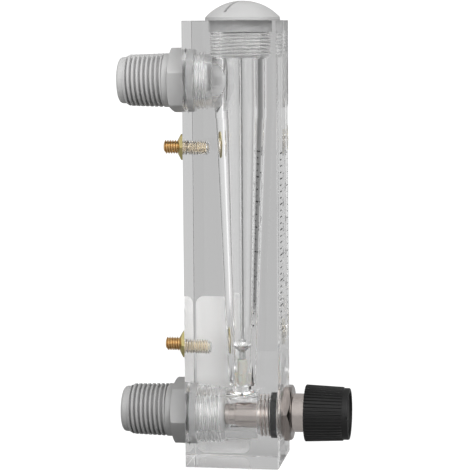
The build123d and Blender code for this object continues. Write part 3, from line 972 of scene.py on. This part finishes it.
def seat_form():
    """Webbed foot of the rod, with soft moulded edges."""
    seat = turned("webbed_seat", [
        (rod_low.z, 0),
        (rod_low.z, ROD_RADIUS + 0.02),
        (seat_high.z, ROD_RADIUS + 0.02),
        *reversed(rounded(seat_high.z, SEAT_RADIUS, 0.4)),
        (seat_low.z, SEAT_RADIUS),
        (seat_low.z, 0),
    ], 64)
    reach = seat_high.x
    for low, high in (
        (Vector((-reach, -WEB_HALF, seat_low.z)), Vector((reach, WEB_HALF, seat_low.z + WEB_TOP))),
        (Vector((-WEB_HALF, -reach, seat_low.z)), Vector((WEB_HALF, reach, seat_low.z + WEB_TOP))),
    ):
        web = applied(
            brick("web", low, high),
            "BEVEL",
            width=WEB_EDGE * MM,
            segments=2,
            limit_method="ANGLE",
            angle_limit=SHARP,
        )
        core = turned("web_core", solid([(seat_low.z - OVER, 2.0), (seat_high.z, 2.0)]), 64)
        combined(web, core, "DIFFERENCE")
        combined(seat, web, "UNION")
    return seat


dressed(laid(seat_form(), BORE), "rod_seat")

float_low, float_high = corners("float")
float_radius = float_high.x
foot, top = float_low.z, float_high.z
STEM_RADIUS = 1.95
HEAD_STEM_RADIUS = 2.2
FLOAT_BORE = 1.05
float_form = turned("metering_float", hollow(
    [
        (foot, STEM_RADIUS - 0.2),
        (foot + 0.2, STEM_RADIUS),
        (foot + 3.0, STEM_RADIUS),
        (foot + 5.8, float_radius - 0.1),
        (foot + 5.95, float_radius),
        (foot + 6.25, float_radius),
        (foot + 6.35, float_radius - 0.1),
        (foot + 7.0, HEAD_STEM_RADIUS),
        (top - 0.15, HEAD_STEM_RADIUS),
        (top, HEAD_STEM_RADIUS - 0.15),
    ],
    [(top, FLOAT_BORE), (foot, FLOAT_BORE)],
))
dressed(laid(float_form, BORE), "float")


# Studs and nuts
AIR_FILM = 0.05          # gap that leaves the block's back face bright where the nut meets it
NUT_THICK = 4.6
NUT_FLATS = 10.0
NUT_TURN = math.radians(-90)
NUT_RADIUS = 5.73        # radius that trims the nut's corners
NUT_CONE = 1.4           # length of the nut's chamfer
NUT_HOLE = 2.79
for node in stud_z:
    low, high = corners(node)
    inner, outer = low.y - rear_y, high.y - rear_y
    root, crest = STUD_THREAD[:2]
    stud = turned(node + "_core", solid([
        (inner, root - 0.4), (inner + 0.4, root), (outer - 0.4, root), (outer, root - 0.4),
    ]), 64)
    threaded(
        stud,
        STUD_THREAD,
        inner + 0.2,
        outer - inner - 0.4,
        trim=[(inner + 0.02, root), (inner + 0.6, crest), (outer - 0.6, crest), (outer - 0.02, root)],
        foot=0.76,
        land=0.12,
    )
    dressed(laid(stud, stud_axis(node)), node)

    nut = hexagon(node + "_hexagon", AIR_FILM, NUT_THICK - AIR_FILM, NUT_FLATS, NUT_TURN, 0.1, [
        (AIR_FILM, NUT_RADIUS), (NUT_THICK - NUT_CONE, NUT_RADIUS), (NUT_THICK, 3.3),
    ])
    hole = turned("nut_hole", solid([(-OVER, NUT_HOLE), (NUT_THICK + OVER, NUT_HOLE)]), 64)
    combined(nut, hole, "DIFFERENCE")
    dressed(laid(nut, stud_axis(node)), node + "_nut")


# Valve bonnet with its seal
bonnet_low, bonnet_high = corners("valve_bonnet")
NECK_END = front_y - bonnet_low.y
NOSE_END = front_y - bonnet_high.y
NECK_RADIUS = 7.6
CYLINDER = 6.2           # radius of the bore that the spindle's piston slides in
WASHER = 0.7             # thickness of the face under the hexagon
BONNET_HEX = 3.0
BONNET_HEX_END = WASHER + BONNET_HEX
BONNET_FLATS = 21.0
BONNET_HEX_TURN = math.radians(-6 - 90)


def bonnet_form():
    """Plated bonnet: nose, thread, groove, collar, washer face, hexagon and neck."""
    root = BONNET_THREAD[0]
    bonnet = turned("plated_bonnet", hollow(
        [
            (NOSE_END, 6.85),
            (NOSE_END + 0.3, 7.15),
            (-BONNET_WALL, 7.15),
            (-BONNET_WALL, root - 0.2),
            (-BONNET_WALL + 0.3, root),
            (-BONNET_POCKET, root),
            (-BONNET_POCKET, 6.9),
            (-1.5, 6.9),
            (-1.5, 8.9),
            (0.0, 8.9),
            (0.0, 9.75),
            (0.15, 9.9),
            (WASHER - 0.15, 9.9),
            (WASHER, 9.75),
            (WASHER, 7.9),
            (BONNET_HEX_END, 7.9),
            (BONNET_HEX_END + 0.3, NECK_RADIUS),
            (NECK_END - 0.4, NECK_RADIUS),
            (NECK_END, 7.2),
        ],
        [(NECK_END, 4.05), (-0.2, 4.05), (-0.2, CYLINDER), (NOSE_END, CYLINDER)],
    ))
    threaded(bonnet, BONNET_THREAD, -BONNET_WALL + 0.4, BONNET_WALL - BONNET_POCKET - 0.6)
    nut = hexagon("bonnet_hexagon", WASHER, BONNET_HEX, BONNET_FLATS, BONNET_HEX_TURN, 0.1, [
        (WASHER, 10.5), (1.1, 11.9), (1.4, 12.2), (2.5, 12.2), (BONNET_HEX_END, 10.3),
    ])
    return combined(bonnet, nut, "UNION")


dressed(laid(bonnet_form(), VALVE), "valve_bonnet")
seal_low, seal_high = corners("bonnet_seal")
seal_middle = front_y - (seal_low.y + seal_high.y) / 2
bonnet_ring = squeezed(
    "bonnet_ring",
    middle=seal_middle,
    section=1.6,
    inner=6.92,
    outer=9.02,
    low=-BONNET_POCKET,
    high=-1.5,
)
dressed(laid(bonnet_ring, VALVE), "bonnet_seal")

tip_low, tip_high = corners("valve_plug")
tip_face, tip_back = front_y - tip_high.y, front_y - tip_low.y
TIP_RADIUS = 6.15
TIP_CHAMFER = 0.3
PAD_RADIUS = 5.52
PAD_DEPTH = 1.22
SWIVEL_RADIUS = 3.05
SWIVEL_DEPTH = 3.05
tip_form = turned("swivel_plug", [
    (tip_face + PAD_DEPTH, 0),
    (tip_face + PAD_DEPTH, PAD_RADIUS),
    (tip_face, PAD_RADIUS),
    (tip_face, TIP_RADIUS - TIP_CHAMFER),
    (tip_face + TIP_CHAMFER, TIP_RADIUS),
    (tip_back - TIP_CHAMFER, TIP_RADIUS),
    (tip_back, TIP_RADIUS - TIP_CHAMFER),
    (tip_back, SWIVEL_RADIUS),
    (tip_back - SWIVEL_DEPTH, SWIVEL_RADIUS),
    (tip_back - SWIVEL_DEPTH, 0),
])
dressed(laid(tip_form, VALVE), "valve_plug")


# Knob
RIBS = 48
RIB_STEPS = 6            # points round one rib and its groove
RIB_DEPTH = 0.45
GRIP_EDGE = 0.25
knob_low, knob_high = corners("knob")
KNOB_START = front_y - knob_high.y
KNOB_END = front_y - knob_low.y
GRIP_LENGTH = 15.0
GRIP_REAR = 11.2
GRIP_FRONT = 10.55
RING_RADIUS = 10.15
CAP_RADIUS = 8.7
CAP_RECESS = 0.9
SKIRT_RADIUS = 8.1       # of the hollow behind the grip
SKIRT_DEPTH = 5.0
INSERT_RADIUS = 5.02
SCREW_WELL_RADIUS = 3.6
NOTCH_HALF = 0.8


def knob_form():
    """Ribbed grip drawn from a circle, with its ring, skirt and cap seat turned after."""
    count = RIBS * RIB_STEPS
    bpy.ops.mesh.primitive_circle_add(
        vertices=count,
        radius=GRIP_REAR * MM,
        fill_type="NGON",
        location=(0, 0, KNOB_START * MM),
    )
    grip = named("ribbed_knob")
    bpy.ops.object.transform_apply()
    in_groove = [index % RIB_STEPS < RIB_STEPS / 2 for index in range(count)]
    open_mesh(grip, lambda vertex: in_groove[vertex.index])
    scale = 1 - RIB_DEPTH / GRIP_REAR
    bpy.ops.transform.resize(value=(scale, scale, 1), center_override=(0, 0, KNOB_START * MM))
    bpy.ops.mesh.select_all(action="SELECT")
    radius = GRIP_REAR - GRIP_EDGE
    distance = KNOB_START
    scale = radius / GRIP_REAR
    bpy.ops.transform.resize(value=(scale, scale, 1), center_override=(0, 0, distance * MM))
    for next_distance, next_radius in (
        (KNOB_START + GRIP_EDGE, GRIP_REAR),
        (KNOB_START + GRIP_LENGTH - GRIP_EDGE, GRIP_FRONT),
        (KNOB_START + GRIP_LENGTH, GRIP_FRONT - GRIP_EDGE),
    ):
        step = {"value": (0, 0, (next_distance - distance) * MM)}
        bpy.ops.mesh.extrude_region_move(TRANSFORM_OT_translate=step)
        scale = next_radius / radius
        pivot = (0, 0, next_distance * MM)
        bpy.ops.transform.resize(value=(scale, scale, 1), center_override=pivot)
        distance, radius = next_distance, next_radius
    close_solid()
    ring_end = turned("knob_ring", solid([
        (KNOB_START + GRIP_LENGTH - OVER, RING_RADIUS),
        *rounded(KNOB_END, RING_RADIUS, 0.5),
    ]))
    combined(grip, ring_end, "UNION")
    well = turned("knob_well", solid([
        (KNOB_END - CAP_RECESS - 1.2, CAP_RADIUS + 0.03),
        (KNOB_END - 0.25, CAP_RADIUS + 0.03),
        (KNOB_END + 0.05, CAP_RADIUS + 0.33),
        (KNOB_END + OVER, CAP_RADIUS + 0.33),
    ]))
    combined(grip, well, "DIFFERENCE")
    screw_well = turned("screw_well", solid([
        (KNOB_START + 11.3, SCREW_WELL_RADIUS), (KNOB_END - CAP_RECESS - 1.0, SCREW_WELL_RADIUS),
    ]), 48)
    combined(grip, screw_well, "DIFFERENCE")
    skirt = turned("knob_skirt", solid([
        (KNOB_START - OVER, SKIRT_RADIUS + 0.3),
        (KNOB_START, SKIRT_RADIUS + 0.3),
        (KNOB_START + 0.3, SKIRT_RADIUS),
        (KNOB_START + SKIRT_DEPTH, SKIRT_RADIUS),
        (KNOB_START + SKIRT_DEPTH, INSERT_RADIUS),
        (KNOB_START + 11.4, INSERT_RADIUS),
    ]))
    combined(grip, skirt, "DIFFERENCE")
    mark = brick(
        "pointer_notch",
        Vector((-RING_RADIUS - OVER, -NOTCH_HALF, KNOB_END - 0.8)),
        Vector((-CAP_RADIUS - 0.1, NOTCH_HALF, KNOB_END + OVER)),
    )
    open_mesh(mark)
    bpy.ops.mesh.bevel(offset=0.25 * MM, segments=2, affect="EDGES")
    close_mesh()
    return combined(grip, mark, "DIFFERENCE")


dressed(laid(knob_form(), VALVE), "knob")
cap_form = turned("knob_disc", solid([
    (KNOB_END - CAP_RECESS - 1.2, CAP_RADIUS),
    *rounded(KNOB_END - CAP_RECESS, CAP_RADIUS, 0.2),
    (KNOB_END - CAP_RECESS, 6.6),
    (KNOB_END - CAP_RECESS - 0.15, 6.4),
]))
dressed(laid(cap_form, VALVE), "knob_cap")


# Label on the far side face
LABEL_CORNER = 3.0
LABEL_GAP = 0.03


def label_form():
    """Rounded film with a breath of air behind it, so that it looks as pale as from outside."""
    low, high = corners("side_label")
    centre = (low + high) / 2
    inner_x = side_x + LABEL_GAP
    bpy.ops.mesh.primitive_plane_add(size=1, rotation=(0, math.pi / 2, 0))
    film = named("blank_label")
    bpy.ops.object.transform_apply()
    open_mesh(film)
    bpy.ops.transform.resize(value=(1, (high.y - low.y) * MM, (high.z - low.z) * MM))
    bpy.ops.transform.translate(value=(inner_x * MM, centre.y * MM, centre.z * MM))
    bpy.ops.mesh.bevel(offset=LABEL_CORNER * MM, segments=8, affect="VERTICES")
    thickness = high.x - inner_x
    bpy.ops.mesh.extrude_region_move(TRANSFORM_OT_translate={"value": (thickness * MM, 0, 0)})
    close_solid()
    return film


dressed(label_form(), "side_label")


# Scale printed on the front face, in contact with the acrylic
INK_SUNK = 0.02
INK_PROUD = 0.01
SCALE_TOP_Z = 122.0
SCALE_STEP = 9.85
SCALE_MAJORS = 8
LITRES_PER_GALLON = 3.785
FEWEST_LITRES = 4
MOST_LITRES = 30

# Where each column starts, the reach and width of its ticks, and the reach and height of its numbers
LEFT_BASE = -8.6
WHOLE_TICK = (6.5, 0.6)
HALF_TICK = (5.2, 0.5)
QUARTER_TICK = (4.2, 0.5)
LEFT_NUMBER = (9.2, 3.4)
RIGHT_BASE = 13.5
FIFTH_TICK = (-3.6, 0.35)
LITRE_TICK = (-2.2, 0.35)
RIGHT_NUMBER = (-6.2, 2.3)
TEXT_SIZE = 1.4          # size of a text for a number of height 1


def tick(base, form, z):
    """One printed line across the scale."""
    reach, width = form
    low = Vector((min(base, base + reach), front_y - INK_PROUD, z - width / 2))
    high = Vector((max(base, base + reach), front_y + INK_SUNK, z + width / 2))
    return brick("tick", low, high)


def numeral(number, base, form, z):
    """A printed number, centred on a place on the front face."""
    reach, height = form
    bpy.ops.object.text_add()
    letters = bpy.context.object
    letters.data.body = str(number)
    letters.data.size = height * TEXT_SIZE * MM
    letters.data.align_x = "CENTER"
    letters.data.align_y = "CENTER"
    letters.data.extrude = (INK_SUNK + INK_PROUD) / 2 * MM
    bpy.ops.object.convert(target="MESH")
    letters = bpy.context.object
    letters.location = Vector((base + reach, front_y + (INK_SUNK - INK_PROUD) / 2, z)) * MM
    letters.rotation_euler = (math.pi / 2, 0, 0)
    bpy.ops.object.transform_apply()
    open_mesh(letters)
    bpy.ops.mesh.remove_doubles(threshold=WELD)
    close_solid()
    return letters


def scale_marks():
    """Two columns of ticks and plain numbers for two units of flow."""
    marks = []
    for major in range(SCALE_MAJORS):
        z = SCALE_TOP_Z - major * SCALE_STEP
        marks.append(tick(LEFT_BASE, WHOLE_TICK, z))
        marks.append(numeral(SCALE_MAJORS - major, LEFT_BASE, LEFT_NUMBER, z))
        if major == SCALE_MAJORS - 1:
            break
        for quarter, form in ((1, QUARTER_TICK), (2, HALF_TICK), (3, QUARTER_TICK)):
            marks.append(tick(LEFT_BASE, form, z - quarter * SCALE_STEP / 4))
    base_z = SCALE_TOP_Z - (SCALE_MAJORS - 1) * SCALE_STEP
    for litres in range(FEWEST_LITRES, MOST_LITRES + 1):
        z = base_z + (litres / LITRES_PER_GALLON - 1) * SCALE_STEP
        fifth = litres % 5 == 0
        marks.append(tick(RIGHT_BASE, FIFTH_TICK if fifth else LITRE_TICK, z))
        if fifth:
            marks.append(numeral(litres, RIGHT_BASE, RIGHT_NUMBER, z))
    return marks


def scale_form():
    """All marks as one printed piece."""
    marks = scale_marks()
    alone(marks[0])
    for mark in marks:
        mark.select_set(True)
    bpy.ops.object.join()
    return named("scale_print")


scale = scale_form()
scale.data.materials.clear()
scale.data.materials.append(printed_ink())
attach(scale, frame["nodes"]["body_block"]["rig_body"])


# Studio: pale floor, a surround that is white to the camera and graded for the object, soft lights
FLOOR_RADIUS = 260.0
FLOOR_DROP = 0.02        # how far the floor lies below the block
FLOOR_GREY = 0.5
FLOOR_SEEN = 0.9         # share of the floor that the camera sees as plain white
FLOOR_EVEN = 0.75        # share of it that the object sees as even as the tent
FLOOR_DIM = 0.8          # share of its glow that doesn't light matt surfaces
WHITE = 1.15
TENT_GREY = 0.44
TENT_TOP = 0.1           # how much brighter the tent is overhead
TENT_SIDE = 1.7          # how much brighter it is beside the camera
TENT_ABOVE = 84.0        # how much brighter it is above the camera, to both sides
TENT_REAR = 0.26         # how much brighter it is behind the fittings
TENT_FAR = 0.8           # how much brighter it is past the object, towards the scale
TENT_FRONT = 0.3         # how much darker it is before the scale
MIRROR_Y = 0.16          # the direction that the side face mirrors towards the camera
LOW_Z = 0.05             # directions below this aren't above the camera


def floor_finish():
    """Pale floor that the camera sees almost white, with a faint shadow."""
    finish = Finish("pale_floor")
    seen = Amount(finish, finish.node("ShaderNodeLightPath").outputs["Is Camera Ray"])
    matt = finish.node("ShaderNodeBsdfDiffuse", values={"Color": grey(FLOOR_GREY)})
    shading = Amount(finish, finish.node("ShaderNodeLightPath").outputs["Is Diffuse Ray"])
    glow = finish.node("ShaderNodeEmission", values={
        "Color": grey(1.0),
        "Strength": TENT_GREY + (WHITE - TENT_GREY) * seen - FLOOR_DIM * TENT_GREY * shading,
    })
    mix = finish.node("ShaderNodeMixShader", values={
        0: FLOOR_EVEN + (FLOOR_SEEN - FLOOR_EVEN) * seen, 1: matt.outputs[0], 2: glow.outputs[0],
    })
    finish.node("ShaderNodeOutputMaterial", values={"Surface": mix.outputs[0]})
    return finish.material


bpy.ops.mesh.primitive_circle_add(
    vertices=SIDES,
    radius=FLOOR_RADIUS * MM,
    fill_type="NGON",
    location=(0, 0, -FLOOR_DROP * MM),
)
floor = named("floor")
floor.data.materials.append(floor_finish())


def surround():
    """Light tent: white to the camera, and graded for what the object reflects and refracts."""
    world = bpy.data.worlds.new("light_tent")
    world.use_nodes = True
    bpy.context.scene.world = world
    finish = Finish("light_tent", world.node_tree)
    way = finish.node("ShaderNodeTexCoord").outputs["Generated"]
    parts = finish.node("ShaderNodeSeparateXYZ", values={0: way})
    x, y, z = (Amount(finish, parts.outputs[axis]) for axis in range(3))
    before = (-3.0 * y - 1.5).at_least(0.0).at_most(1.0)
    beyond = x.at_least(0.0) * (-1 * y).at_least(0.0).at_most(0.2)
    level = TENT_GREY + TENT_TOP * z.at_least(0.0) + TENT_REAR * y.at_least(0.0) + TENT_FAR * beyond
    off_mirror = (y - MIRROR_Y) ** 2.0
    facing = (-1 * x).at_least(0.0)
    above = TENT_ABOVE * facing * (z - LOW_Z).at_least(0.0) * off_mirror
    near = facing * (above + TENT_SIDE * y.at_least(0.0))
    graded = level + near - TENT_FRONT * before
    seen = Amount(finish, finish.node("ShaderNodeLightPath").outputs["Is Camera Ray"])
    strength = seen * WHITE + (1 - seen) * graded
    sky = finish.node("ShaderNodeBackground", values={"Color": grey(1.0), "Strength": strength})
    finish.node("ShaderNodeOutputWorld", values={"Surface": sky.outputs[0]})


surround()


def softbox(name, place, aim, size, power):
    """Soft square light at a place, turned towards a point."""
    data = bpy.data.lights.new(name, "AREA")
    data.shape = "SQUARE"
    data.size = size * MM
    data.energy = power
    light = bpy.data.objects.new(name, data)
    bpy.context.scene.collection.objects.link(light)
    light.location = place * MM
    light.rotation_euler = (aim - place).to_track_quat("-Z", "Y").to_euler()


middle = Vector((0, 0, block_top / 2))
softbox("top_light", Vector((40, 0, 800)), middle, 420, 0.1)
softbox("left_light", Vector((-700, 520, 420)), middle, 380, 0.3)


# Camera at the photograph's angle
IMAGE_SIDE = 470
SENSOR = 36.0
FOCAL_PIXELS = 1874.278
CAMERA_DISTANCE = 734.98
CAMERA_TARGET = Vector((0, 0.819, 89.396))
azimuth = math.radians(-80.864)
elevation = math.radians(6.33)
roll = math.radians(-0.397)

back = Vector((
    math.sin(azimuth) * math.cos(elevation),
    -math.cos(azimuth) * math.cos(elevation),
    math.sin(elevation),
))
level_right = Vector((math.cos(azimuth), math.sin(azimuth), 0))
level_up = back.cross(level_right)
right = level_right * math.cos(roll) + level_up * math.sin(roll)
up = level_up * math.cos(roll) - level_right * math.sin(roll)

camera_data = bpy.data.cameras.new("camera")
camera_data.sensor_width = SENSOR
camera_data.lens = FOCAL_PIXELS / IMAGE_SIDE * SENSOR
camera = bpy.data.objects.new("camera", camera_data)
bpy.context.scene.collection.objects.link(camera)
camera.matrix_world = (
    Matrix.Translation((CAMERA_TARGET + back * CAMERA_DISTANCE) * MM)
    @ Matrix((right, up, back)).transposed().to_4x4()
)
bpy.context.scene.camera = camera

# Light passes many walls of the clear block before it leaves
CLEAR_BOUNCES = 64
cycles = bpy.context.scene.cycles
cycles.max_bounces = CLEAR_BOUNCES
cycles.transmission_bounces = CLEAR_BOUNCES
cycles.glossy_bounces = CLEAR_BOUNCES
cycles.diffuse_bounces = 12
bpy.context.scene.view_settings.view_transform = "Standard"

bpy.context.view_layer.update()
